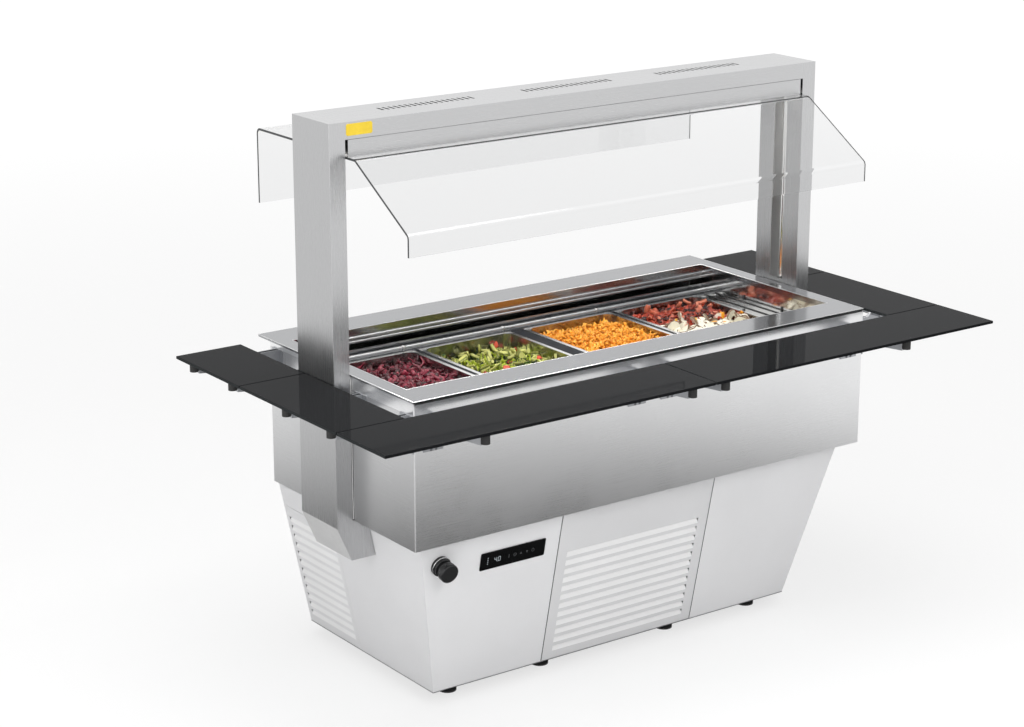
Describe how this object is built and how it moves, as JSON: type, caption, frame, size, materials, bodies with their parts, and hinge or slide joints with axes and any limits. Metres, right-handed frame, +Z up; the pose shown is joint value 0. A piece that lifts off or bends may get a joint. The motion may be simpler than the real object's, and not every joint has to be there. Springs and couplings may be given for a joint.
{
  "type": "salad bar",
  "caption": "Refrigerated self-service salad bar: insulated well with lift-out pans, louvred base, gantry with a lowering glass canopy and fold-down tray slides.",
  "frame": {"origin": "middle of the bounding box on the floor plane", "axes": "+X along the length to the customer's right, +Y from the customer's side to the rear, +Z up"},
  "size_m": [2.08, 1.052, 1.605],
  "materials": {
    "brushed_steel": "satin",
    "frame_steel": "satin",
    "polished_steel": "polished",
    "bracket_steel": "satin",
    "light_panel": "satin",
    "galvanised_steel": "matte",
    "black_plastic": "matte",
    "display_glass": "gloss",
    "black_metal": "satin",
    "coil_aluminium": "satin",
    "pipe_plastic": "satin",
    "foam": "matte",
    "opal_plastic": "satin",
    "clear_glass": "gloss",
    "dark_glass": "gloss",
    "black_rubber": "matte",
    "beetroot": "satin",
    "green_leaf": "satin",
    "carrot": "satin",
    "antipasti_mix": "satin"
  },
  "bodies": {
    "cabinet": {"skirt": "brushed_steel", "body_wrap": "brushed_steel", "gantry_beam": "brushed_steel", "left_column": "brushed_steel", "right_column": "brushed_steel", "top_frame": "frame_steel", "well_tub": "polished_steel", "pan_rails": "polished_steel", "adapter_bars": "polished_steel", "air_duct": "polished_steel", "guide_rods": "polished_steel", "hinge_pins": "polished_steel", "slide_consoles": "bracket_steel", "front_left_panel": "light_panel", "front_right_panel": "light_panel", "left_side_panel": "light_panel", "right_side_panel": "light_panel", "left_side_grille": "light_panel", "right_side_grille": "light_panel", "back_panel": "light_panel", "chassis": "galvanised_steel", "knob_rosette": "black_plastic", "levelling_feet": "black_plastic", "evaporator_fan_frame": "black_plastic", "control_display": "display_glass", "compressor": "black_metal", "fan_shroud": "black_metal", "condenser_coil": "coil_aluminium", "evaporator_coil": "coil_aluminium", "drain_pipe": "pipe_plastic", "well_insulation": "foam"},
    "canopy": {"canopy_housing": "brushed_steel", "slider_blocks": "black_plastic", "light_diffuser": "opal_plastic", "front_guard_glass": "clear_glass", "rear_guard_glass": "clear_glass"},
    "front_left_slide": {"front_left_slide_glass": "dark_glass", "front_left_slide_carrier": "bracket_steel", "front_left_slide_bumpers": "black_rubber"},
    "front_right_slide": {"front_right_slide_glass": "dark_glass", "front_right_slide_carrier": "bracket_steel", "front_right_slide_bumpers": "black_rubber"},
    "left_slide": {"left_slide_glass": "dark_glass", "left_slide_carrier": "bracket_steel", "left_slide_bumpers": "black_rubber"},
    "right_slide": {"right_slide_glass": "dark_glass", "right_slide_carrier": "bracket_steel", "right_slide_bumpers": "black_rubber"},
    "beetroot_pan": {"pan_1": "polished_steel", "beetroot_salad": "beetroot"},
    "green_salad_pan": {"pan_2": "polished_steel", "green_salad": "green_leaf"},
    "carrot_pan": {"pan_3": "polished_steel", "carrot_salad": "carrot"},
    "antipasti_pan": {"pan_4": "polished_steel", "antipasti": "antipasti_mix"},
    "service_cover": {"service_grille": "light_panel"},
    "control_knob": {"knob": "black_plastic"},
    "condenser_rotor": {"condenser_fan": "black_plastic"},
    "evaporator_rotor": {"evaporator_fan": "black_plastic"}
  },
  "joints": [
    {"name": "canopy_lift", "type": "slide", "parent": "cabinet", "child": "canopy", "axis": [0, 0, 1], "range_m": [-0.28, 0]},
    {"name": "front_left_slide_fold", "type": "hinge", "parent": "cabinet", "child": "front_left_slide", "pos_m": [-0.5, -0.3, 0.879], "axis": [1, 0, 0], "range_deg": [0, 90]},
    {"name": "front_right_slide_fold", "type": "hinge", "parent": "cabinet", "child": "front_right_slide", "pos_m": [0.5, -0.3, 0.879], "axis": [1, 0, 0], "range_deg": [0, 90]},
    {"name": "left_slide_fold", "type": "hinge", "parent": "cabinet", "child": "left_slide", "pos_m": [-0.822, 0.1, 0.879], "axis": [0, -1, 0], "range_deg": [0, 90]},
    {"name": "right_slide_fold", "type": "hinge", "parent": "cabinet", "child": "right_slide", "pos_m": [0.822, 0.1, 0.879], "axis": [0, 1, 0], "range_deg": [0, 90]},
    {"name": "beetroot_pan_lift", "type": "slide", "parent": "cabinet", "child": "beetroot_pan", "axis": [0, 0, 1], "range_m": [0, 0.16]},
    {"name": "green_salad_pan_lift", "type": "slide", "parent": "cabinet", "child": "green_salad_pan", "axis": [0, 0, 1], "range_m": [0, 0.16]},
    {"name": "carrot_pan_lift", "type": "slide", "parent": "cabinet", "child": "carrot_pan", "axis": [0, 0, 1], "range_m": [0, 0.16]},
    {"name": "antipasti_pan_lift", "type": "slide", "parent": "cabinet", "child": "antipasti_pan", "axis": [0, 0, 1], "range_m": [0, 0.16]},
    {"name": "service_cover_off", "type": "slide", "parent": "cabinet", "child": "service_cover", "axis": [0, -1, 0], "range_m": [0, 0.2]},
    {"name": "knob_turn", "type": "hinge", "parent": "cabinet", "child": "control_knob", "pos_m": [-0.66697, -0.20167, 0.443], "axis": [0, -0.9774, -0.2113], "range_deg": [0, 90]},
    {"name": "condenser_fan_spin", "type": "hinge", "parent": "cabinet", "child": "condenser_rotor", "pos_m": [0, 0.0177, 0.21], "axis": [0, 1, 0], "continuous": true},
    {"name": "evaporator_fan_spin", "type": "hinge", "parent": "cabinet", "child": "evaporator_rotor", "pos_m": [0, 0.4, 0.69], "axis": [0, 1, 0], "continuous": true}
  ]
}
